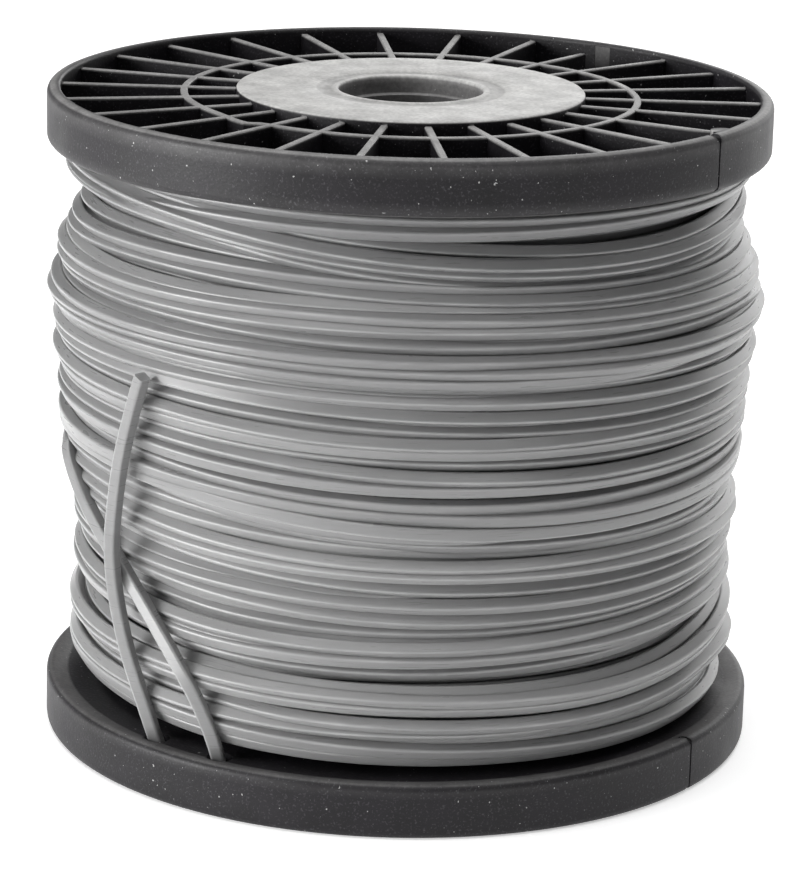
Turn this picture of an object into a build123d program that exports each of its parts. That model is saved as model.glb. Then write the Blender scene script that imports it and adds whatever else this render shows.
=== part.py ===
"""Spool of trimmer line.

Two ribbed flange mouldings stand on the ends of a core tube that is wound full of nylon
line. The last turn is laced down through the lower flange and up again, and its cut end
stands beside the winding. The spool stands on its lower flange with its axis along +Z,
and its front is towards -Y. All sizes are in millimetres.
"""

import os
from itertools import pairwise
from math import cos, radians, sin, sqrt, tan

from build123d import *

# Whole spool
spool_height = 138.5
flange_diameter = 152.0

# Line, square in section
line_width = 2.7

# Flange moulding: rim, web and ribs
rim_height = 11.5
rim_wall = 2.8
rim_round = 0.9
rim_lip = 0.8  # the rim stands this far past the web on the line side
lip_round = 1.6
lip_slope = 3.0  # width of the slope from the lip down to the web
web_thickness = 2.0
rib_count = 26
rib_thickness = 1.5
rib_setback = 1.2  # the ribs' edges lie this far inside the rim's outer edge
ring_radius = 47.5
ring_thickness = 1.5
fuse_depth = 0.6  # a rib's ends run this far into the walls that they join

# Flange moulding: hub with a bush for the spindle
hub_wall = 2.9
hub_setback = 0.3
hub_plate = 3.2
bore_radius = 14.0
bush_wall = 2.6
bush_length = 12.0
mouth_radius = 15.2
mouth_depth = 3.9

# Flange moulding: slit in the rim, the boss beside it and the lacing holes
slit_azimuth = 54.2  # from the spool's front towards +X
slit_width = 0.9
slit_mouth_width = 2.2
slit_mouth_depth = 1.6
boss_radius = 2.6
boss_angle = 4.6  # round from the slit
lacing_angles = (84.6, 98.5)  # round from the slit
lacing_edge = 6.2  # from the flange's edge to the middle of a hole
lacing_clearance = 0.8
notch_width = 8.0
notch_floor = 2.6  # what is left of the notched rib above the web

# Core tube
core_radius = 33.5
core_wall = 2.5
core_clearance = 0.2

# Winding: each bundle of turns makes a ridge, at a share of the height and inside the flange's edge
winding_ridges = (
    (0.062, 6.3),
    (0.141, 6.0),
    (0.220, 6.8),
    (0.298, 7.0),
    (0.374, 6.8),
    (0.489, 4.0),
    (0.545, 3.5),
    (0.598, 2.7),
    (0.663, 2.0),
    (0.731, 0.8),
    (0.804, 2.6),
    (0.862, 5.2),
    (0.918, 4.8),
    (0.971, 4.7),
)
winding_foot = 11.5  # from the flange's edge to the line at the lower web
winding_head = 7.5  # the same at the upper web
winding_clearance = 0.2
groove_depth = 2.2

# Tail of the line, from the winding to its cut end
tail_route = (
    (-70.5, -15.2, 63.0),
    (-68.0, -23.5, 58.5),
    (-63.1, -34.2, 52.2),
    (-54.5, -46.4, 43.2),
    (-45.1, -56.9, 31.0),
    (-38.3, -61.7, 20.3),
    (-34.0, -60.1, 5.5),
    (-40.7, -54.8, 1.9),
    (-47.4, -50.0, 5.5),
    (-51.6, -50.6, 18.9),
    (-55.8, -47.8, 30.5),
    (-58.9, -45.9, 47.0),
    (-57.8, -48.4, 61.6),
    (-55.5, -52.1, 76.1),
    (-51.8, -57.0, 89.4),
)
arc_share = 0.45  # share of the shorter run that an arc takes up

# Sizes that follow from those above
flange_radius = flange_diameter / 2
rim_inside = flange_radius - rim_wall
web_top = rim_lip + web_thickness
rib_top = rim_height - rib_setback
hub_top = rim_height - hub_setback
cup_radius = core_radius + core_clearance
cup_top = hub_top - hub_plate
hub_radius = cup_radius + hub_wall
bush_radius = bore_radius + bush_wall
bush_end = hub_top - bush_length
rib_pitch = 360 / rib_count
lacing_radius = flange_radius - lacing_edge


def polar(radius, angle):
    """Point at this radius and angle about the flange's axis."""
    return radius * cos(radians(angle)), radius * sin(radians(angle))


# Flange moulding, outer side up, with its slit on the X axis
with BuildPart() as flange:
    # Rim, web, hub and bush in one turned section
    with BuildSketch(Plane.XZ):
        with BuildLine():
            Polyline(
                (bore_radius, bush_end),
                (bore_radius, hub_top - mouth_depth),
                (mouth_radius, hub_top - mouth_depth),
                (mouth_radius, hub_top),
                (hub_radius, hub_top),
                (hub_radius, web_top),
                (rim_inside, web_top),
                (rim_inside, rim_height),
                (flange_radius - rim_round, rim_height),
                (flange_radius, rim_height - rim_round),
                (flange_radius, lip_round),
                (flange_radius - lip_round, 0),
                (flange_radius - lip_round - lip_slope, rim_lip),
                (cup_radius, rim_lip),
                (cup_radius, cup_top),
                (bush_radius, cup_top),
                (bush_radius, bush_end),
                close=True,
            )
        make_face()
    revolve(axis=Axis.Z)

    # Ring rib with a corner at each radial rib, the radial ribs, and the boss beside the slit
    with BuildSketch(Plane.XY.offset(web_top)):
        ring_outside = ring_radius + ring_thickness / 2
        ring_inside = ring_radius - ring_thickness / 2
        RegularPolygon(ring_outside, rib_count, rotation=rib_pitch / 2)
        RegularPolygon(ring_inside, rib_count, rotation=rib_pitch / 2, mode=Mode.SUBTRACT)
        rib_length = rim_inside - hub_radius + 2 * fuse_depth
        with PolarLocations((hub_radius + rim_inside) / 2, rib_count, start_angle=rib_pitch / 2):
            Rectangle(rib_length, rib_thickness)
    extrude(amount=rib_top - web_top)
    with BuildSketch(Plane.XY.offset(web_top)):
        with Locations(polar(rim_inside, boss_angle)):
            Circle(boss_radius)
        Circle(flange_radius - rim_round, mode=Mode.INTERSECT)
    extrude(amount=rim_height - web_top)

    # Slit through the rim, with a flared mouth
    with BuildSketch(Plane.YZ.offset(rim_inside)):
        with Locations((0, rim_height / 2)):
            Rectangle(slit_width, rim_height)
        with BuildLine():
            Polyline(
                (-slit_mouth_width / 2, rim_height),
                (slit_mouth_width / 2, rim_height),
                (slit_width / 2, rim_height - slit_mouth_depth),
                (-slit_width / 2, rim_height - slit_mouth_depth),
                close=True,
            )
        make_face()
    extrude(amount=rim_wall, mode=Mode.SUBTRACT)

    # Lacing holes through the web, and a notch in the rib between them for the line
    with BuildSketch():
        with Locations(*(polar(lacing_radius, angle) for angle in lacing_angles)):
            Circle(line_width / sqrt(2) + lacing_clearance)
    extrude(amount=web_top, mode=Mode.SUBTRACT)
    with BuildSketch(Plane.XY.offset(web_top + notch_floor)):
        notched_rib = (sum(lacing_angles) / 2 // rib_pitch + 0.5) * rib_pitch
        with PolarLocations(rim_inside - notch_width / 2, 1, start_angle=notched_rib):
            Rectangle(notch_width, rib_thickness * 2)
        Circle(rim_inside, mode=Mode.INTERSECT)
    extrude(amount=rib_top - web_top, mode=Mode.SUBTRACT)

# The same moulding at both ends, turned over at the lower one
slit_direction = polar(1, slit_azimuth - 90)
with BuildPart(Plane((0, 0, spool_height - rim_height), slit_direction, (0, 0, 1))) as upper_flange:
    add(flange.part)
with BuildPart(Plane((0, 0, rim_height), slit_direction, (0, 0, -1))) as lower_flange:
    add(flange.part)

# Core tube, seated in the hub cups of both flanges
core_bottom = rim_height - cup_top
with BuildPart() as core_tube:
    with BuildSketch(Plane.XY.offset(core_bottom)):
        Circle(core_radius)
        Circle(core_radius - core_wall, mode=Mode.SUBTRACT)
    extrude(amount=spool_height - 2 * core_bottom)

# Winding, between the webs of the two flanges
winding_bottom = rim_height - rim_lip
winding_length = spool_height - 2 * winding_bottom


def side_point(share, inset):
    """Point on the winding's outside, at a share of its height and inside the flange's edge."""
    return flange_radius - inset, winding_bottom + share * winding_length


def winding_side():
    """Points up the winding's outside, with a groove between each ridge and the next."""
    yield side_point(0, winding_foot)
    for (share, inset), (next_share, next_inset) in pairwise(winding_ridges):
        yield side_point(share, inset)
        yield side_point((share + next_share) / 2, max(inset, next_inset) + groove_depth)
    yield side_point(*winding_ridges[-1])
    yield side_point(1, winding_head)


with BuildPart() as wound_line:
    with BuildSketch(Plane.XZ):
        with BuildLine():
            Polyline(
                (core_radius + winding_clearance, winding_bottom),
                *winding_side(),
                (core_radius + winding_clearance, winding_bottom + winding_length),
                close=True,
            )
        make_face()
    revolve(axis=Axis.Z)


def arc_radii(route):
    """Radius of the arc at each corner of a route, as large as its two runs allow."""
    points = [Vector(*point) for point in route]
    for before, corner, after in zip(points, points[1:], points[2:]):
        turn = (corner - before).get_angle(after - corner)
        shorter = min((corner - before).length, (after - corner).length)
        yield arc_share * shorter / tan(radians(turn / 2))


# Tail, laced through both holes of the lower flange
tail_radii = list(arc_radii(tail_route))
with BuildPart() as line_tail:
    with BuildLine():
        tail_path = FilletPolyline(*tail_route, radius=tail_radii)
    with BuildSketch(Plane(tail_path @ 0, z_dir=tail_path % 0)):
        Rectangle(line_width, line_width)
    sweep(path=tail_path)

print("tail radii", [round(radius, 1) for radius in tail_radii], "length", round(tail_path.length, 1))

os.makedirs("parts", exist_ok=True)
for name, builder in (
    ("upper_flange", upper_flange),
    ("lower_flange", lower_flange),
    ("core_tube", core_tube),
    ("wound_line", wound_line),
    ("line_tail", line_tail),
):
    builder.part.label = name
    export_step(builder.part, f"parts/{name}.step")
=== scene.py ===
"""Looks of the spool of trimmer line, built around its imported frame.

The wound line is laid turn by turn on the spool, each turn resting on the ones below it. The
tail is one length of the same line, and both flanges are one moulding with rounded edges.
Lengths below are in millimetres until they go into a mesh. Azimuths are in degrees, from the
spool's front at -Y towards +X.
"""

import math

import bmesh
import bpy
import numpy as np
from mathutils import Matrix, Vector


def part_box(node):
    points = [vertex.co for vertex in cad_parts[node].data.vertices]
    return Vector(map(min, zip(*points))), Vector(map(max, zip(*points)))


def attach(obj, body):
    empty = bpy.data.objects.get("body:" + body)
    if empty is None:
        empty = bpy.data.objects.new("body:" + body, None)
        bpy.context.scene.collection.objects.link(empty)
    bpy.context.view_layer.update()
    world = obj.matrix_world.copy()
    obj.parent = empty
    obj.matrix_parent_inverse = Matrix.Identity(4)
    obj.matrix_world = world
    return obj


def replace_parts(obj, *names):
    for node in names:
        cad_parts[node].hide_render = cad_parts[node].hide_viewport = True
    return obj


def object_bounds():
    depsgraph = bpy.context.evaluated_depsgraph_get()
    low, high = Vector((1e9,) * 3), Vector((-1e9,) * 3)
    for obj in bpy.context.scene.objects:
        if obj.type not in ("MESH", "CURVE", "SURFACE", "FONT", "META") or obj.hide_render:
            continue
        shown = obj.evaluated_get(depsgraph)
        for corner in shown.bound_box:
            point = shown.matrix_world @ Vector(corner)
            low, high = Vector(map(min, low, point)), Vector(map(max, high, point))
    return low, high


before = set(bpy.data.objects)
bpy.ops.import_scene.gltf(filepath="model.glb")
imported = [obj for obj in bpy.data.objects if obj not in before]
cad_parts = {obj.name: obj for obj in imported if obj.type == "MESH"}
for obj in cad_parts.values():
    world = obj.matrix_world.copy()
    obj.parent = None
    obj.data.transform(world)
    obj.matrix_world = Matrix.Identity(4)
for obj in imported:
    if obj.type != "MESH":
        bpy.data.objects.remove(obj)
cad_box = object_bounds()
scene = bpy.context.scene
MM = 0.001

# Sizes of the spool, from its frame
spool_height = (cad_box[1].z - cad_box[0].z) / MM
flange_radius = max(v.co.xy.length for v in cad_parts["upper_flange"].data.vertices) / MM
winding_low, winding_high = (corner.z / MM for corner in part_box("wound_line"))

# Line: a square section with rounded corners
line_width = 2.7
line_corner = 0.55
corner_points = 3

# Flange moulding, outer side up, with its slit on the X axis
slit_azimuth = 54.2
rim_height = 11.5
rim_wall = 2.8
rim_round = 1.6
rim_inner_round = 0.5
rim_inner_edge = 0.4
lip_slope = 3.0
lip_rise = 0.8
lip_blend = 0.3
web_top = 2.8
rib_count = 26
rib_top = 10.3
rib_half = 0.75
rib_bevel = 0.2
wall_fillet = 0.3
ring_radius = 47.5
ring_jog = 2.0  # the ring drifts out by this before one place, and steps back there
ring_jog_angle = -95
ring_jog_run = 9
ring_jog_step = 1.2
ring_jog_reach = 2  # the drift takes along what is this near to the ring's middle
hub_radius = 36.6
hub_top = 11.2
hub_round = 0.5
dish_depth = 0.25
dish_radius = 20
dish_inset = 1.1
dish_edge = 0.5
mouth_radius = 15.2
mouth_round = 0.45
ledge_height = 7.3
ledge_break = 0.15
ledge_fillet = 0.2
bore_radius = 14.0
bush_radius = 16.6
bush_end = -0.8
cup_radius = 33.7
cup_top = 8.0
slit_half = 0.25
slit_inset = 0.3  # the slit starts this far inside the rim's wall
slit_mouth_half = 1.1
slit_mouth_depth = 1.6
slit_mouth_rise = 0.1  # the mouth's slopes run this far past the rim
slit_eye = 0.55
boss_radius = 2.6
boss_angle = 4.6
boss_setback = 0.12
lacing_angles = (84.6, 98.5)
lacing_radius = 69.8
lacing_hole = 2.7
notch_half = 2
notch_length = 8.0
notch_bottom = 5.4
notch_inset = 0.05  # the notch runs this far into the rim's wall
edge_break = 0.3
overcut = 1.0  # how far a cut runs past the moulding
margin = 0.5  # how far a cut or the boss runs past the web or a rib
foot_height = 3.0  # edges below this get neither wear nor painted sheen

# Rows and columns of the moulding between its corners: heights on walls, radii on flats, shares of a bay
bore_row = 3.0
mouth_row = 9.5
hub_rows = (25, 30, 34)
inner_web_row = 42
outer_web_rows = (54, 60, 66)
rim_rows = (7.5, 5.0, 3.0)
under_rows = (65, 55, 45)
bay_fractions = (0.2, 0.4, 0.6, 0.8)

# Winding
steps_per_turn = 160
height_step = 0.15
turn_width = 1.9  # width and height over which a turn rests on what is below it
turn_height = 2.76
under_pitch = 2.7
under_tint = 0.3
bundle_pitch = 2.1
top_turns = 2  # turns on the middle of each bundle
winding_depth = 7.6  # of the outer layers
winding_split = 75  # height between the two pieces that the bundles are in
press = 0.3  # share that is left of how far a turn stands out past the outline
crown = 2.2  # how far the outline falls from a bundle's middle to its edges
taut_passes = 40
end_run = 14  # steps over which each end of a bundle goes down into the winding
end_dip = 4.5
course_ease = 14  # degrees over which a bundle's course is evened out
radius_ease = 3  # steps over which its radius is evened out
move_run = 0.2  # share of a turn over which the line moves to its next place
crest_outline = (
    # heights, and the outline's radius there
    (11, 64.5),
    (14, 69.0),
    (18, 71.3),
    (26, 71.7),
    (34, 70.8),
    (42, 70.0),
    (50, 71.0),
    (58, 72.0),
    (66, 72.8),
    (74, 72.8),
    (82, 73.6),
    (90, 74.2),
    (97, 75.3),
    (104, 73.6),
    (112, 70.4),
    (118, 70.8),
    (124, 71.0),
    (128, 70.5),
)
course_azimuths = (-90, -45, 0, 45, 90, 180)
bundles = (
    # heights at those azimuths, the number of turns side by side, and how pale they are; the higher bundles
    # are set darker as painted shade under the upper flange
    ((18.0, 17.0, 16.0, 14.5, 14.0, 15.5), 4, 0.55),
    ((124.5, 124.5, 124.0, 124.5, 124.5, 124.5), 3, 0.1),
    ((111.0, 113.0, 111.0, 109.5, 110.0, 112.0), 4, 0.3),
    ((47.5, 47.0, 45.0, 45.0, 46.0, 45.0), 4, 0.65),
    ((77.0, 76.0, 73.5, 72.0, 72.5, 73.0), 4, 0.45),
    ((89.5, 90.0, 88.5, 87.0, 86.5, 88.0), 4, 0.45),
    ((105.5, 105.0, 105.5, 104.0, 102.5, 105.0), 4, 0.45),
    ((39.0, 37.0, 36.5, 37.5, 39.5, 37.0), 5, 0.7),
    ((58.0, 56.5, 54.5, 53.5, 52.5, 54.0), 5, 0.65),
    ((27.5, 27.5, 27.0, 25.5, 31.0, 28.0), 3, 0.7),
    ((69.5, 68.0, 64.0, 63.0, 64.5, 66.0), 5, 0.5),
    ((83.5, 82.5, 80.5, 79.5, 78.5, 80.0), 4, 0.5),
    ((125.0, 122.5, 116.0, 114.0, 118.0, 124.0), 4, 0.2),
    ((97.5, 97.5, 96.5, 95.5, 94.5, 96.0), 5, 0.5),
)

# Unevenness of the winding
winding_seed = 7
start_scatter = 20  # steps by which the bundles' starts differ
slot_scatter = 0.12  # share of the pitch by which turns lie out of place
tint_scatter = 0.1
wander_waves = (0.7, 1.6, 2.7)  # waves in each turn, as the line drifts slowly
wander_reach = 0.2
spin_scatter = 0.15  # radians by which the line's section is turned at its start
spin_drift = 0.05  # and by which it goes on turning, with each turn of the winding
spin_waves = (0.6, 1.3)
spin_reach = 0.13

# Loose loop of the lowest turns, which stands off the winding at the right
loop_turns = 2
loop_heights = (21.5, 21.5, 21.5, 20.0, 23.0, 22.0)
loop_azimuth = 87
loop_width = 17
loop_lift = 5.0
loop_tint = 0.6

# Hollow in the winding behind the loop
loop_hollow_low = 17
loop_hollow_high = 27
loop_hollow_edge = 3  # height over which it runs out
loop_hollow_depth = 2.6

# Hollow in the winding under the tail
hollow_azimuth = -62
hollow_width = 28
hollow_top = 66
hollow_edge = 8
hollow_depth = 1.5

# Tail of the line, from the winding to its cut end
tail_route = (
    (-70.5, -15.2, 63.0),
    (-68.0, -23.5, 58.5),
    (-63.1, -34.2, 52.2),
    (-54.5, -46.4, 43.2),
    (-45.1, -56.9, 31.0),
    (-38.3, -61.7, 20.3),
    (-34.0, -60.1, 5.5),
    (-40.7, -54.8, 1.9),
    (-47.4, -50.0, 5.5),
    (-51.6, -50.6, 18.9),
    (-55.8, -47.8, 30.5),
    (-58.9, -45.9, 47.0),
    (-57.8, -48.4, 61.6),
    (-55.5, -52.1, 76.1),
    (-51.8, -57.0, 89.4),
)
tail_tint = 0.45
tail_facing = (0.0, -1.0, 0.0)  # the way that a flat of the tail faces before it is turned
tail_turn = (-0.9, -2.36)  # radians that it is turned at its start and at its cut end

# The line before its tail, under the bundle that it comes out from
tail_lead = (
    (-66.5, 17.5, 72.0),
    (-68.2, 8.5, 70.8),
    (-69.4, 0.0, 69.0),
    (-70.0, -7.8, 66.4),
)


def link(piece):
    """Puts a new object into the scene."""
    scene.collection.objects.link(piece)
    return piece


# Camera at the photograph's view
image_size = (811, 871)
view_target = Vector((0, 0, 69.33)) * MM
view_distance = 803.76 * MM
view_elevation = math.radians(15.334)
view_roll = math.radians(1.503)
focal_pixels = 3747.8
principal_pixel = (402.70, 405.11)


def add_camera():
    """Camera fitted to the photograph's two flange outlines."""
    data = bpy.data.cameras.new("camera")
    camera = link(bpy.data.objects.new("camera", data))
    back = Vector((0, -math.cos(view_elevation), math.sin(view_elevation)))
    facing = (-back).to_track_quat("-Z", "Y").to_matrix().to_4x4()
    place = Matrix.Translation(view_target + back * view_distance)
    camera.matrix_world = place @ facing @ Matrix.Rotation(view_roll, 4, "Z")
    long_side = max(image_size)
    data.sensor_width = 36
    data.lens = focal_pixels * data.sensor_width / long_side
    data.shift_x = (image_size[0] / 2 - principal_pixel[0]) / long_side
    data.shift_y = (principal_pixel[1] - image_size[1] / 2) / long_side
    data.clip_start = 0.05
    scene.camera = camera


# Materials


def new_material(name):
    """A material with its node tree, and its shader node."""
    material = bpy.data.materials.new(name)
    material.use_nodes = True
    shader = material.node_tree.nodes["Principled BSDF"]
    return material, material.node_tree, shader


def add_node(tree, kind, **values):
    """A node with these values on its sockets, or on itself where it has no such socket."""
    node = tree.nodes.new(kind)
    for key, value in values.items():
        if key in node.inputs:
            node.inputs[key].default_value = value
        else:
            setattr(node, key, value)
    return node


def add_ramp(tree, source, stops):
    """A colour ramp fed by a socket. Its two stops are each a place and a grey or a colour."""
    ramp = tree.nodes.new("ShaderNodeValToRGB")
    for element, (place, value) in zip(ramp.color_ramp.elements, stops):
        element.position = place
        element.color = (*value, 1) if isinstance(value, tuple) else (value, value, value, 1)
    tree.links.new(source, ramp.inputs["Fac"])
    return ramp.outputs["Color"]


def add_mix(tree, factor, first, second, blend="MIX"):
    """Mixes two colours, each a socket or a colour, by a socket or a number."""
    mix = tree.nodes.new("ShaderNodeMix")
    mix.data_type = "RGBA"
    mix.blend_type = blend
    for socket, value in ((mix.inputs[0], factor), (mix.inputs[6], first), (mix.inputs[7], second)):
        if isinstance(value, bpy.types.NodeSocket):
            tree.links.new(value, socket)
        else:
            socket.default_value = value if isinstance(value, (int, float)) else (*value, 1)
    return mix.outputs[2]


def add_noise(tree, scale, detail, stretch=(1, 1, 1)):
    """Noise over an object's coordinates, in metres, stretched along some of them."""
    coordinates = tree.nodes.new("ShaderNodeTexCoord")
    mapping = add_node(tree, "ShaderNodeMapping", Scale=stretch)
    tree.links.new(coordinates.outputs["Object"], mapping.inputs["Vector"])
    noise = add_node(tree, "ShaderNodeTexNoise", Scale=scale, Detail=detail)
    tree.links.new(mapping.outputs["Vector"], noise.inputs["Vector"])
    return noise.outputs["Fac"]


def add_bump(tree, shader, height, strength):
    """Gives a shader fine relief from a socket."""
    bump = add_node(tree, "ShaderNodeBump", Strength=strength, Distance=0.0002)
    tree.links.new(height, bump.inputs["Height"])
    tree.links.new(bump.outputs["Normal"], shader.inputs["Normal"])


def line_material():
    """Clear grey nylon: satin, with fine drawing marks along it, a tint with painted shade set run by run,
    and a painted highlight along the ridges of its corners, whose strength drifts.
    """
    material, tree, shader = new_material("nylon_line")
    tint_and_shade = add_node(tree, "ShaderNodeAttribute", attribute_name="tint_and_shade")
    edge = add_node(tree, "ShaderNodeAttribute", attribute_name="edge")
    drift = add_noise(tree, 60, 2)
    streak = add_noise(tree, 180, 3, (0.25, 0.25, 5))
    # Paleness of each run: its tint, with painted shade that makes the bundles under the upper flange
    # darker.
    tinted_and_shaded = add_ramp(tree, tint_and_shade.outputs["Fac"], ((0, (0.20, 0.20, 0.202)), (1, (0.34, 0.34, 0.34))))
    clouded = add_ramp(tree, streak, ((0.3, 0.92), (0.7, 1.0)))
    body = add_mix(tree, 1.0, tinted_and_shaded, clouded, "MULTIPLY")
    # Painted highlight: the ridge of each rounded corner is lightened towards a pale grey, more in some
    # places than in others.
    highlight_strength = add_ramp(tree, drift, ((0.35, 0.05), (0.7, 0.6)))
    lit = add_mix(tree, 1.0, edge.outputs["Color"], highlight_strength, "MULTIPLY")
    tree.links.new(add_mix(tree, lit, body, (0.48, 0.48, 0.48)), shader.inputs["Base Color"])
    marks = add_noise(tree, 900, 2, (0.15, 0.15, 3))
    roughness = add_ramp(tree, marks, ((0.3, 0.27), (0.7, 0.31)))
    tree.links.new(roughness, shader.inputs["Roughness"])
    shader.inputs["IOR"].default_value = 1.53
    shader.inputs["Subsurface Weight"].default_value = 0.55
    shader.inputs["Subsurface Radius"].default_value = (1, 1, 1)
    shader.inputs["Subsurface Scale"].default_value = 0.0022
    add_bump(tree, shader, marks, 0.02)
    return material


def flange_material():
    """Black moulded plastic: satin, scuffed, with pale specks, and with its edges and upward faces made
    grey by wear and by painted sheen.
    """
    material, tree, shader = new_material("flange_plastic")
    cloud = add_noise(tree, 90, 5)
    base = add_ramp(tree, cloud, ((0.3, (0.006, 0.0054, 0.0065)), (0.7, (0.0125, 0.011, 0.014))))
    wear_and_sheen = add_node(tree, "ShaderNodeAttribute", attribute_name="wear_and_sheen")
    patches = add_ramp(tree, add_noise(tree, 1100, 4), ((0.3, 0.7), (0.7, 1.0)))
    blotches = add_ramp(tree, add_noise(tree, 160, 3), ((0.35, 0.72), (0.65, 1.0)))
    wear_and_sheen_level = add_mix(tree, 1.0, wear_and_sheen.outputs["Color"], patches, "MULTIPLY")
    wear_and_sheen_level = add_mix(tree, 1.0, wear_and_sheen_level, blotches, "MULTIPLY")
    dust = add_ramp(tree, add_noise(tree, 2200, 2), ((0.58, 0.0), (0.72, 0.5)))
    base = add_mix(tree, dust, base, (0.085, 0.08, 0.09))
    # Paler greys where wear is highest: real wear together with painted sheen and highlights on the hub's
    # face, the rib tops and the bore's mouth.
    grey = add_ramp(tree, wear_and_sheen.outputs["Fac"], ((0.9, (0.36, 0.355, 0.35)), (1.0, (0.64, 0.635, 0.62))))
    worn_and_sheened = add_mix(tree, wear_and_sheen_level, base, grey)
    specks = add_ramp(tree, add_noise(tree, 1300, 1), ((0.76, 0.0), (0.785, 1.0)))
    tree.links.new(add_mix(tree, specks, worn_and_sheened, (0.4, 0.4, 0.4)), shader.inputs["Base Color"])
    tree.links.new(add_ramp(tree, cloud, ((0.3, 0.42), (0.7, 0.52))), shader.inputs["Roughness"])
    shader.inputs["Specular IOR Level"].default_value = 0.32
    add_bump(tree, shader, add_noise(tree, 1500, 2), 0.25)
    return material


def core_material():
    """Plain black tube, duller than the flanges."""
    material, tree, shader = new_material("core_plastic")
    cloud = add_noise(tree, 80, 3)
    colour = add_ramp(tree, cloud, ((0.3, (0.016, 0.016, 0.017)), (0.7, (0.030, 0.030, 0.031))))
    tree.links.new(colour, shader.inputs["Base Color"])
    tree.links.new(add_ramp(tree, cloud, ((0.3, 0.5), (0.7, 0.65))), shader.inputs["Roughness"])
    return material


def floor_material():
    """White paper sweep."""
    material, tree, shader = new_material("floor")
    tooth = add_noise(tree, 40, 4)
    tree.links.new(add_ramp(tree, tooth, ((0.3, 0.93), (0.7, 0.95))), shader.inputs["Base Color"])
    shader.inputs["Roughness"].default_value = 0.9
    shader.inputs["Specular IOR Level"].default_value = 0.1
    shader.inputs["Emission Color"].default_value = (1, 1, 1, 1)
    shader.inputs["Emission Strength"].default_value = 0.45
    return material


# Meshes of line


def line_section():
    """Points round the line's section, a rounded square, and the way each one faces."""
    turns = (np.arange(4)[:, None] + np.linspace(0, 1, corner_points)).ravel() * math.pi / 2
    facing = np.stack([np.cos(turns), np.sin(turns)], -1)
    middles = np.repeat([(1, 1), (-1, 1), (-1, -1), (1, -1)], corner_points, axis=0)
    return middles * (line_width / 2 - line_corner) + facing * line_corner, facing


def sweep_line(path, spin, facing_way=None):
    """Corners, faces and shading of line laid along a path, turned by spin on the way.

    Before it is turned, a flat of the line faces out from the spool's axis, or the way that is given.
    """
    section, facing = line_section()
    along = np.gradient(path, axis=0)
    along /= np.linalg.norm(along, axis=1)[:, None]
    outward = path * (1, 1, 0) if facing_way is None else np.tile(facing_way, (len(path), 1))
    outward -= along * np.sum(outward * along, axis=1)[:, None]
    outward /= np.linalg.norm(outward, axis=1)[:, None]
    side = np.cross(along, outward)
    cos, sin = np.cos(spin)[:, None], np.sin(spin)[:, None]
    axes = np.stack([outward * cos + side * sin, side * cos - outward * sin], 1)
    corners = (path[:, None] + section @ axes).reshape(-1, 3)
    normals = (facing @ axes).reshape(-1, 3)
    count = len(section)
    ring, spoke = np.meshgrid(np.arange(len(path) - 1) * count, np.arange(count), indexing="ij")
    after = (spoke + 1) % count
    quads = [ring + spoke, ring + after, ring + after + count, ring + spoke + count]
    quads = np.stack(quads, -1).reshape(-1, 4)
    first = np.arange(count)[::-1]
    last = np.arange(len(corners) - count, len(corners))
    shading = [normals[quads.ravel()], np.tile(-along[0], (count, 1)), np.tile(along[-1], (count, 1))]
    return corners, [*quads.tolist(), first.tolist(), last.tolist()], np.concatenate(shading)


def line_piece(name, runs, material):
    """One object with these runs of line, each a path, its spin, its tint and painted shade, and the way it
    faces.
    """
    corners, faces, shading, tints_and_shades, edges = [], [], [], [], []
    # The middle point of each corner carries the painted highlight along the line's ridges.
    ridge_highlight_mask = (np.arange(4 * corner_points) % corner_points == corner_points // 2).astype(np.float32)
    start = 0
    for path, spin, tint_and_shade, *facing_way in runs:
        run_corners, run_faces, run_shading = sweep_line(path, spin, *facing_way)
        corners.append(run_corners)
        faces += [[index + start for index in face] for face in run_faces]
        shading.append(run_shading)
        tints_and_shades.append(np.full(len(run_corners), tint_and_shade))
        edges.append(np.tile(ridge_highlight_mask, len(path)))
        start += len(run_corners)
    mesh = bpy.data.meshes.new(name)
    mesh.from_pydata((np.concatenate(corners) * MM).tolist(), [], faces)
    for key, values in (("tint_and_shade", tints_and_shades), ("edge", edges)):
        attribute = mesh.attributes.new(key, "FLOAT", "POINT")
        attribute.data.foreach_set("value", np.concatenate(values).astype(np.float32))
    mesh.shade_smooth()
    mesh.normals_split_custom_set(np.concatenate(shading).tolist())
    mesh.materials.append(material)
    piece = link(bpy.data.objects.new(name, mesh))
    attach(piece, "root")
    return piece


# Winding


def smooth_round(values, width):
    """Evens out values that go round the spool, over a width in degrees."""
    reach = np.arange(len(values))
    gap = np.minimum(reach, len(values) - reach) * 360 / len(values)
    weight = np.exp(-0.5 * (gap / width) ** 2)
    return np.fft.irfft(np.fft.rfft(values) * np.fft.rfft(weight / weight.sum()), len(values))


def turn_from(middle, angle):
    """How far an angle lies round from a middle, in degrees either way."""
    return (angle - middle + 180) % 360 - 180


def swell(azimuths, middle, width):
    """A smooth swell round the spool: 1 at its middle, and next to nothing past twice its width."""
    return np.exp(-((turn_from(middle, azimuths) / width) ** 2))


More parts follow.
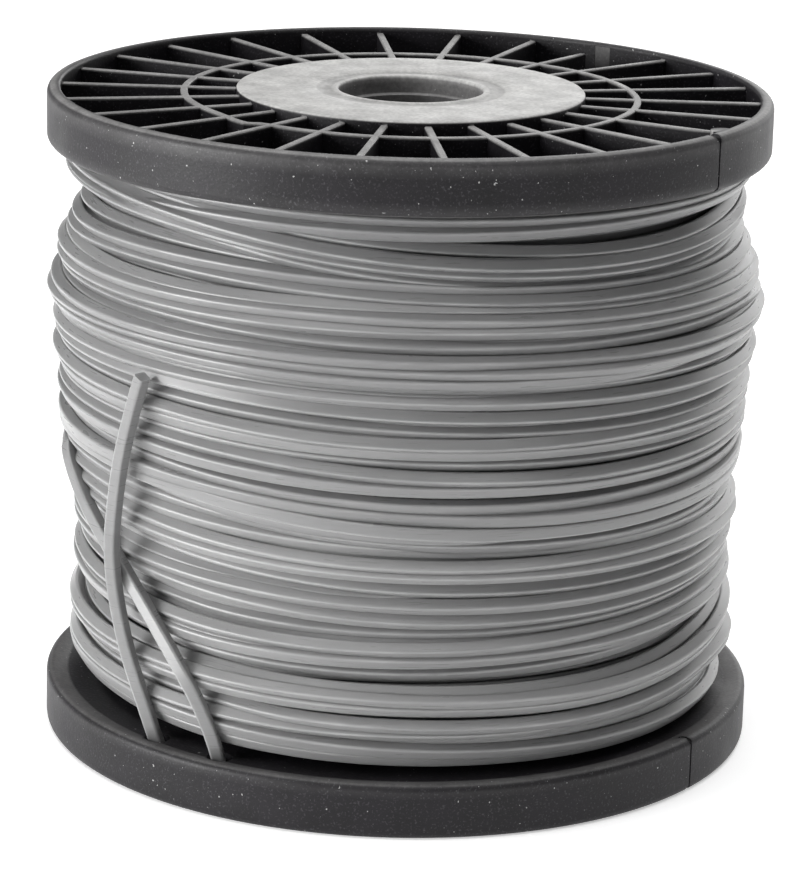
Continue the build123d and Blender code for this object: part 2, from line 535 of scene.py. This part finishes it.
class Winding:
    """The spool's surface as line builds up on it: its radius by azimuth and height."""

    def __init__(self, seed):
        self.random = np.random.default_rng(seed)
        self.azimuths = np.arange(steps_per_turn) * 360 / steps_per_turn
        self.heights = np.arange(winding_low, winding_high, height_step)
        outline = np.interp(self.heights, *zip(*crest_outline)) - winding_depth
        self.radius = np.tile(outline, (steps_per_turn, 1))
        below = np.clip((hollow_top - self.heights) / hollow_edge, 0, 1)
        self.radius -= hollow_depth * swell(self.azimuths, hollow_azimuth, hollow_width)[:, None] * below
        self.limit = self.radius + winding_depth - line_width / 2
        above = np.clip((self.heights - loop_hollow_low) / loop_hollow_edge, 0, 1)
        below = np.clip((loop_hollow_high - self.heights) / loop_hollow_edge, 0, 1)
        behind_loop = swell(self.azimuths, loop_azimuth, loop_width)[:, None]
        self.radius -= loop_hollow_depth * behind_loop * (above * below)
        reach = int(turn_width / 2 / height_step)
        self.offsets = np.arange(-reach, reach + 1)
        self.rise = turn_height / 2 * np.sqrt(1 - (self.offsets * height_step / (turn_width / 2)) ** 2)

    def cells(self, first, heights):
        """Rows and columns of the surface under a turn from this step at these heights."""
        rows = (first + np.arange(len(heights))) % steps_per_turn
        middle = np.round((heights - winding_low) / height_step).astype(int)
        columns = np.clip(middle[:, None] + self.offsets, 0, len(self.heights) - 1)
        return rows[:, None], columns

    def lay_turn(self, first, heights, fall):
        """Lays a turn on what is below it, and returns its radius all the way round.

        Past the outline, less the fall at each step, it is pressed in.
        """
        cells = self.cells(first, heights)
        radius = draw_taut(np.max(self.radius[cells] + self.rise, axis=1))
        limit = np.mean(self.limit[cells], axis=1) - fall
        radius = np.where(radius > limit, limit + press * (radius - limit), radius)
        np.maximum.at(self.radius, cells, radius[:, None] + self.rise)
        return radius

    def course(self, slots, pitch, first, centre):
        """Heights of a bundle's turns, which lie side by side in slots about a centre line."""
        turns = len(slots)
        step = np.arange(turns * steps_per_turn + 1)
        turn = np.minimum(step // steps_per_turn, turns - 1)
        move = np.clip((step / steps_per_turn - turn - (1 - move_run)) / move_run, 0, 1)
        move = move * move * (3 - 2 * move)
        slot = slots[turn] * (1 - move) + slots[np.minimum(turn + 1, turns - 1)] * move
        heights = centre[(first + step) % steps_per_turn] + slot * pitch + self.wander(step)
        return np.clip(heights, winding_low + turn_height / 2, winding_high - turn_height / 2)

    def wander(self, step):
        """Slow drift of a turn from its place."""
        turn = step / steps_per_turn
        drift = np.zeros(len(step))
        for waves in wander_waves:
            drift += wander_reach * np.sin(2 * math.pi * (waves * turn + self.random.random()))
        return drift

    def spin(self, length):
        """How the line's square section turns along a path of this many steps."""
        step = np.arange(length) / steps_per_turn
        start = math.pi / 4 + self.random.normal(0, spin_scatter)
        spin = start + self.random.normal(0, spin_drift) * step
        for waves in spin_waves:
            spin += spin_reach * np.sin(2 * math.pi * (waves * step + self.random.random()))
        return spin

    def lay_lead(self, path):
        """Puts a stretch of line on the under layer, for the bundles to lie over."""
        azimuth = np.degrees(np.arctan2(path[:, 0], -path[:, 1]))
        rows = np.round(azimuth / 360 * steps_per_turn).astype(int) % steps_per_turn
        columns = np.round((path[:, 2] - winding_low) / height_step).astype(int)[:, None] + self.offsets
        surface = np.hypot(path[:, 0], path[:, 1])[:, None] + self.rise
        np.maximum.at(self.radius, (rows[:, None], columns), surface)

    def lay_under(self):
        """The layer under the bundles, side by side from one flange to the other."""
        turns = int((winding_high - winding_low) / under_pitch)
        centre = np.full(steps_per_turn, winding_low + under_pitch / 2)
        heights = self.course(np.arange(turns), under_pitch, 0, centre)
        step = np.arange(len(heights))
        cells = self.cells(0, heights)
        radius = np.mean(self.radius[cells], axis=1) + turn_height / 2 + self.wander(step)
        np.maximum.at(self.radius, cells, radius[:, None] + self.rise)
        return on_spool(0, radius, heights), self.spin(len(heights)), under_tint

    def lay_bundle(self, heights, turns, tops, tint_and_shade, lift=0):
        """A bundle of turns over the under layer, and some on top of its middle, laid in one run.

        A lift takes it off the winding at the loose loop.
        """
        centre = np.interp(self.azimuths, course_azimuths, heights, period=360)
        centre = smooth_round(centre, course_ease)
        first = steps_per_turn // 2 + int(self.random.integers(-start_scatter, start_scatter))
        slots = np.concatenate([np.arange(turns) - (turns - 1) / 2, np.arange(tops) - (tops - 1) / 2])
        slots += self.random.normal(0, slot_scatter, len(slots))
        heights = self.course(slots, bundle_pitch, first, centre)
        step = np.arange(len(heights))
        off_centre = heights - centre[(first + step) % steps_per_turn]
        fall = crown * (off_centre / (bundle_pitch * turns / 2)) ** 2
        radius = []
        for start in range(0, len(heights) - 1, steps_per_turn):
            turn = slice(start, start + steps_per_turn)
            radius.append(self.lay_turn(first + start, heights[turn], fall[turn]))
        radius = np.concatenate([*radius, radius[-1][-1:]])
        radius = soften(draw_taut(radius), radius_ease)
        radius += lift * swell((first + step) * 360 / steps_per_turn, loop_azimuth, loop_width)
        from_end = np.minimum(step, len(step) - 1 - step)
        radius -= end_dip * np.clip(1 - from_end / end_run, 0, 1) ** 2
        spin = self.spin(len(heights))
        tint_and_shade += self.random.normal(0, tint_scatter)
        return on_spool(first, radius, heights), spin, tint_and_shade


def on_spool(first, radius, heights):
    """Points of a path that starts at this step round the spool."""
    azimuth = np.radians((first + np.arange(len(heights))) * 360 / steps_per_turn)
    return np.stack([radius * np.sin(azimuth), -radius * np.cos(azimuth), heights], -1)


def draw_taut(radius):
    """Lifts a course off the hollows that a taut line bridges."""
    inverse = 1 / radius
    chord = 2 * math.cos(2 * math.pi / steps_per_turn)
    for _ in range(taut_passes):
        inverse[1:-1] = np.minimum(inverse[1:-1], (inverse[:-2] + inverse[2:]) / chord)
    return 1 / inverse


def soften(values, width):
    """Evens out values along a run, over a width in steps."""
    reach = np.arange(-3 * width, 3 * width + 1)
    weight = np.exp(-0.5 * (reach / width) ** 2)
    padded = np.pad(values, 3 * width, mode="edge")
    return np.convolve(padded, weight / weight.sum(), "valid")


def wind_line(material, lead):
    """The wound line: an under layer, the tail's lead-in, the bundles over both, and the loose loop."""
    winding = Winding(winding_seed)
    under = [winding.lay_under(), (lead, np.zeros(len(lead)), tail_tint, tail_facing)]
    winding.lay_lead(lead)
    lower, upper = [], []
    for heights, turns, tint_and_shade in bundles:
        half = lower if heights[0] < winding_split else upper
        half.append(winding.lay_bundle(heights, turns, top_turns, tint_and_shade))
    lower.append(winding.lay_bundle(loop_heights, loop_turns, 0, loop_tint, loop_lift))
    for name, runs in (("under", under), ("lower", lower), ("upper", upper)):
        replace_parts(line_piece(f"wound_line_{name}", runs, material), "wound_line")


# Tail


def spline_points(route):
    """Points along the smooth spline that has a route's points as its control points."""
    curve = bpy.data.curves.new("tail_route", "CURVE")
    curve.dimensions = "3D"
    curve.resolution_u = 16
    spline = curve.splines.new("NURBS")
    spline.points.add(len(route) - 1)
    for point, place in zip(spline.points, route):
        point.co = (*place, 1)
    spline.order_u = 3
    spline.use_endpoint_u = True
    holder = bpy.data.objects.new("tail_route", curve)
    mesh = bpy.data.meshes.new_from_object(holder)
    points = np.array([v.co for v in mesh.vertices])
    bpy.data.objects.remove(holder)
    bpy.data.curves.remove(curve)
    bpy.data.meshes.remove(mesh)
    return points


def tail_paths():
    """The lead-in under the winding and the tail that follows it, as two stretches of one spline."""
    points = spline_points(tail_lead + tail_route)
    start = int(np.argmin(np.linalg.norm(points - tail_route[0], axis=1)))
    return points[:start + 1], points[start:]


def add_tail(material, points):
    """The tail, laced through the lower flange and cut off beside the winding."""
    spin = np.linspace(*tail_turn, len(points))
    piece = line_piece("line_tail_cord", [(points, spin, tail_tint, tail_facing)], material)
    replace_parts(piece, "line_tail")


# Flange moulding


def arc(middle, radius, start, end, steps):
    """Points along an arc of a profile, from one angle to another."""
    for angle in np.radians(np.linspace(start, end, steps + 1)):
        yield middle[0] + radius * math.cos(angle), middle[1] + radius * math.sin(angle)


def circle(middle, radius, steps=32):
    """Points round a circle."""
    return list(arc(middle, radius, 0, 360 - 360 / steps, steps - 1))


def polar(radius, angle):
    """Point at a radius and an angle about the moulding's axis."""
    return radius * math.cos(math.radians(angle)), radius * math.sin(math.radians(angle))


def rib_side():
    """Points down one side of a rib: an offset from its middle, a height, and how much wear and painted
    sheen it has.
    """
    return (
        (rib_half - rib_bevel, rib_top, 0.9),
        (rib_half, rib_top - rib_bevel, 0.9),
        (rib_half, rib_top - 3 * rib_bevel, 0.0),
        (rib_half, web_top + wall_fillet, 0.0),
        (rib_half + wall_fillet, web_top, 0.0),
    )


def moulding_profile():
    """Rows of the moulding from its bore over its outer side and back under it.

    Each row is a radius, a height, how much wear and painted sheen it has, and whether the ribs rise from
    it.
    """
    rim_inside = flange_radius - rim_wall
    rows = []

    def add(points, wear_and_sheen_level=0.0, ribbed=False):
        rows.extend((radius, height, wear_and_sheen_level, ribbed) for radius, height in points)

    # Wear here is partly real and partly painted sheen: the hub's face, the rib tops, the bore's mouth,
    # ledge and wall, and the rim's rounded edges are painted paler where light catches them.
    # Bore, its mouth and the hub's face
    add(((bore_radius + edge_break, bush_end), (bore_radius, bush_end + edge_break)))
    add(((bore_radius, bore_row), (bore_radius, ledge_height - ledge_break)), 0.5)
    add(((bore_radius + ledge_break, ledge_height), (mouth_radius - ledge_fillet, ledge_height)), 0.9)
    add(((mouth_radius, ledge_height + ledge_fillet), (mouth_radius, mouth_row)), 0.6)
    add(arc((mouth_radius + mouth_round, hub_top - mouth_round), mouth_round, 180, 90, 3), 1.0)
    dish_start = mouth_radius + dish_inset
    add(((dish_start, hub_top),), 1.0)
    dish_bottom = hub_top - dish_depth
    add(((dish_start + dish_edge, dish_bottom), (dish_radius - dish_edge, dish_bottom)), 0.95)
    add(((radius, hub_top) for radius in (dish_radius, *hub_rows)), 1.0)
    add(arc((hub_radius - hub_round, hub_top - hub_round), hub_round, 90, 30, 2), 1.0)
    add(((hub_radius, hub_top - hub_round), (hub_radius, rib_top)))

    # Web with its ring rib
    add(((hub_radius, web_top + wall_fillet), (hub_radius + wall_fillet, web_top)), 0, True)
    add(((inner_web_row, web_top),), 0, True)
    for offset, height, wear_and_sheen_level in reversed(rib_side()):
        add(((ring_radius - offset, height),), wear_and_sheen_level, True)
    for offset, height, wear_and_sheen_level in rib_side():
        add(((ring_radius + offset, height),), wear_and_sheen_level, True)
    add(((radius, web_top) for radius in outer_web_rows), 0, True)
    add(((rim_inside - wall_fillet, web_top), (rim_inside, web_top + wall_fillet)), 0, True)

    # Rim, over its top and down to its lip
    add(((rim_inside, rib_top), (rim_inside, rim_height - rim_inner_round - rim_inner_edge)))
    add(arc((rim_inside + rim_inner_round, rim_height - rim_inner_round), rim_inner_round, 180, 90, 3), 0.1)
    round_radius = flange_radius - rim_round
    add(arc((round_radius, rim_height - rim_round), rim_round, 90, 60, 2), 0.65)
    add(arc((round_radius, rim_height - rim_round), rim_round, 45, 0, 3), 0.15)
    add((flange_radius, height) for height in rim_rows)
    add(arc((round_radius, rim_round), rim_round, 0, -45, 3), 0.05)
    add(arc((round_radius, rim_round), rim_round, -60, -90, 2), 0.3)

    # Line side of the web, the cup for the core and the bush
    lip_end = round_radius - lip_slope
    add(((lip_end + lip_blend, lip_rise - lip_blend * lip_rise / lip_slope),), 0.3)
    add((radius, lip_rise) for radius in (lip_end - lip_blend, *under_rows))
    add(((cup_radius + edge_break, lip_rise), (cup_radius, lip_rise + edge_break)))
    add(((cup_radius, cup_top), (bush_radius, cup_top)))
    add(((bush_radius, bush_end + edge_break), (bush_radius - edge_break, bush_end)))
    return rows


def rib_columns():
    """Columns of one bay: an offset from its rib or a share of the bay, a height, and wear and painted
    sheen.
    """
    side = rib_side()
    columns = [(-offset, None, height, wear_and_sheen_level) for offset, height, wear_and_sheen_level in reversed(side)]
    columns += [(offset, None, height, wear_and_sheen_level) for offset, height, wear_and_sheen_level in side]
    columns += [(side[-1][0], share, web_top, 0.0) for share in bay_fractions]
    return columns


def moulding_point(row, column, bay):
    """Place, and wear and painted sheen, of the point where a row and a column of one bay cross."""
    radius, height, wear_and_sheen_level, ribbed = row
    offset, share, rib_height, rib_wear_and_sheen = column
    pitch = 360 / rib_count
    angle = math.degrees(math.asin(offset / radius))
    if share is not None:
        angle += share * (pitch - 2 * angle)
    angle += (bay + 0.5) * pitch
    if ribbed and rib_height > height:
        height, wear_and_sheen_level = rib_height, rib_wear_and_sheen
    if ribbed and abs(radius - ring_radius) < ring_jog_reach:
        swing = turn_from(ring_jog_angle, angle)
        run = ring_jog_run if swing < 0 else ring_jog_step
        radius += ring_jog * math.exp(-((swing / run) ** 2))
    x, y = polar(radius, angle)
    return (x * MM, y * MM, height * MM), wear_and_sheen_level


def moulding_mesh():
    """The moulding without its cuts: the profile turned, and the ribs raised from its pockets."""
    rows = moulding_profile()
    columns = rib_columns()
    mesh = bmesh.new()
    wear_and_sheen = mesh.verts.layers.float.new("wear_and_sheen")
    grid = []
    for bay in range(rib_count):
        for column in columns:
            line = []
            for row in rows:
                place, wear_and_sheen_level = moulding_point(row, column, bay)
                vert = mesh.verts.new(place)
                vert[wear_and_sheen] = wear_and_sheen_level
                line.append(vert)
            grid.append(line)
    for this, following in zip(grid, grid[1:] + grid[:1]):
        for row in range(len(rows)):
            after = (row + 1) % len(rows)
            mesh.faces.new((this[row], following[row], following[after], this[after]))
    bmesh.ops.remove_doubles(mesh, verts=mesh.verts, dist=0.005 * MM)
    bmesh.ops.dissolve_degenerate(mesh, edges=mesh.edges, dist=0.002 * MM)
    bmesh.ops.recalc_face_normals(mesh, faces=mesh.faces)
    return mesh


def cutter(name, outline, direction, start, length):
    """A prism along X or Z from a start, to cut from the moulding or add to it.

    Its outline is in the moulding's Y and Z for a prism along X, and in X and Y for one along Z.
    """
    mesh = bmesh.new()
    ends = []
    for distance in (start, start + length):
        places = [(distance, a, b) if direction == "X" else (a, b, distance) for a, b in outline]
        ends.append([mesh.verts.new(Vector(place) * MM) for place in places])
    count = len(outline)
    for index in range(count):
        after = (index + 1) % count
        mesh.faces.new((ends[0][index], ends[0][after], ends[1][after], ends[1][index]))
    mesh.faces.new(ends[0][::-1])
    mesh.faces.new(ends[1])
    bmesh.ops.recalc_face_normals(mesh, faces=mesh.faces)
    data = bpy.data.meshes.new(name)
    mesh.to_mesh(data)
    mesh.free()
    return link(bpy.data.objects.new(name, data))


def moulding_tools():
    """What is cut from the moulding, and the boss that is added to it."""
    rim_inside = flange_radius - rim_wall
    mouth_bottom = rim_height - slit_mouth_depth
    mouth_top = rim_height + slit_mouth_rise
    slit = (
        (-slit_half, -overcut),
        (slit_half, -overcut),
        (slit_half, mouth_bottom),
        (slit_mouth_half, mouth_top),
        (-slit_mouth_half, mouth_top),
        (-slit_half, mouth_bottom),
    )
    slit_start = rim_inside - slit_inset
    eye = circle((0, slit_eye), slit_eye)
    notch_end = rim_inside + notch_inset
    notch_start = notch_end - notch_length
    notch = (
        (-notch_half, notch_start),
        (notch_half, notch_start),
        (notch_half, notch_end),
        (-notch_half, notch_end),
    )
    boss_limit = flange_radius - rim_round
    boss = []
    for x, y in circle(polar(rim_inside, boss_angle), boss_radius, 48):
        share = min(1, boss_limit / math.hypot(x, y))
        boss.append((x * share, y * share))
    boss_top = rim_height - boss_setback
    yield cutter("boss", boss, "Z", web_top - margin, boss_top - web_top + margin), "UNION"
    yield cutter("slit", slit, "X", slit_start, rim_wall + overcut), "DIFFERENCE"
    yield cutter("slit_eye", eye, "X", slit_start, rim_wall + overcut), "DIFFERENCE"
    for angle in lacing_angles:
        hole = circle(polar(lacing_radius, angle), lacing_hole)
        yield cutter("lacing_hole", hole, "Z", -overcut, web_top + overcut + margin), "DIFFERENCE"
    yield cutter("notch", notch, "Z", notch_bottom, rib_top - notch_bottom + margin), "DIFFERENCE"


def make_moulding(material):
    """Mesh of the whole moulding, with its slit, boss, lacing holes and notch."""
    body = moulding_mesh()
    data = bpy.data.meshes.new("moulding")
    body.to_mesh(data)
    body.free()
    blank = link(bpy.data.objects.new("moulding", data))
    tools = list(moulding_tools())
    for tool, operation in tools:
        modifier = blank.modifiers.new(tool.name, "BOOLEAN")
        modifier.object = tool
        modifier.operation = operation
        modifier.solver = "EXACT"
    shaped = blank.evaluated_get(bpy.context.evaluated_depsgraph_get())
    mesh = bpy.data.meshes.new_from_object(shaped)
    for item in (blank, *(tool for tool, _ in tools)):
        bpy.data.objects.remove(item)
    mesh.name = "flange_moulding"
    mesh.shade_smooth()
    mesh.set_sharp_from_angle(angle=math.radians(32))
    mesh.materials.clear()
    mesh.materials.append(material)
    return mesh


def clear_foot(mesh):
    """Takes the wear and the painted sheen off the edges that are next to the floor."""
    wear_and_sheen = mesh.attributes["wear_and_sheen"]
    for vertex, value in zip(mesh.vertices, wear_and_sheen.data):
        if vertex.co.z < foot_height * MM:
            value.value = 0


def add_flanges(material):
    """The same moulding at both ends, turned over at the lower one."""
    moulding = make_moulding(material)
    turn = math.radians(slit_azimuth - 90)
    slit_way = Vector((math.cos(turn), math.sin(turn), 0))
    ends = (("upper_flange", spool_height - rim_height, 1), ("lower_flange", rim_height, -1))
    for node, height, up in ends:
        axis = Vector((0, 0, up))
        place = Matrix((slit_way, axis.cross(slit_way), axis)).transposed().to_4x4()
        place.translation = Vector((0, 0, height * MM))
        mesh = moulding.copy()
        mesh.transform(place)
        clear_foot(mesh)
        piece = link(bpy.data.objects.new(f"{node}_moulding", mesh))
        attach(piece, "root")
        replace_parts(piece, node)
    bpy.data.meshes.remove(moulding)


# Stage


def add_floor():
    """Floor that the spool stands on."""
    mesh = bpy.data.meshes.new("floor")
    reach = 6.0
    corners = ((-reach, -reach, 0), (reach, -reach, 0), (reach, reach, 0), (-reach, reach, 0))
    mesh.from_pydata(corners, [], [(0, 1, 2, 3)])
    mesh.materials.append(floor_material())
    link(bpy.data.objects.new("floor", mesh))


def add_softbox(name, place, aim, size, power):
    """A large soft light at a place, aimed at a point. Both are in metres."""
    data = bpy.data.lights.new(name, "AREA")
    data.shape = "RECTANGLE"
    data.size, data.size_y = size
    data.energy = power
    lamp = link(bpy.data.objects.new(name, data))
    lamp.location = place
    lamp.rotation_euler = (Vector(aim) - Vector(place)).to_track_quat("-Z", "Y").to_euler()


def light_stage():
    """Soft light from above, from the left and from behind, and a dim fill all round."""
    middle = (0, 0, 0.07)
    add_softbox("top", (0, 0.1, 1.5), middle, (1.7, 1.7), 23)
    add_softbox("key", (-1.25, -0.5, 0.3), middle, (1.0, 0.6), 20)
    add_softbox("back", (0.9, 1.7, 0.6), middle, (2.2, 1.0), 14)
    world = bpy.data.worlds.new("studio")
    world.use_nodes = True
    background = world.node_tree.nodes["Background"]
    background.inputs["Color"].default_value = (1, 1, 1, 1)
    background.inputs["Strength"].default_value = 0.09
    scene.world = world
    scene.view_settings.view_transform = "Standard"


add_camera()
light_stage()
add_floor()
nylon = line_material()
plastic = flange_material()
lead_path, tail_path = tail_paths()
wind_line(nylon, lead_path)
add_tail(nylon, tail_path)
add_flanges(plastic)
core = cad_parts["core_tube"].data
core.materials.clear()
core.materials.append(core_material())
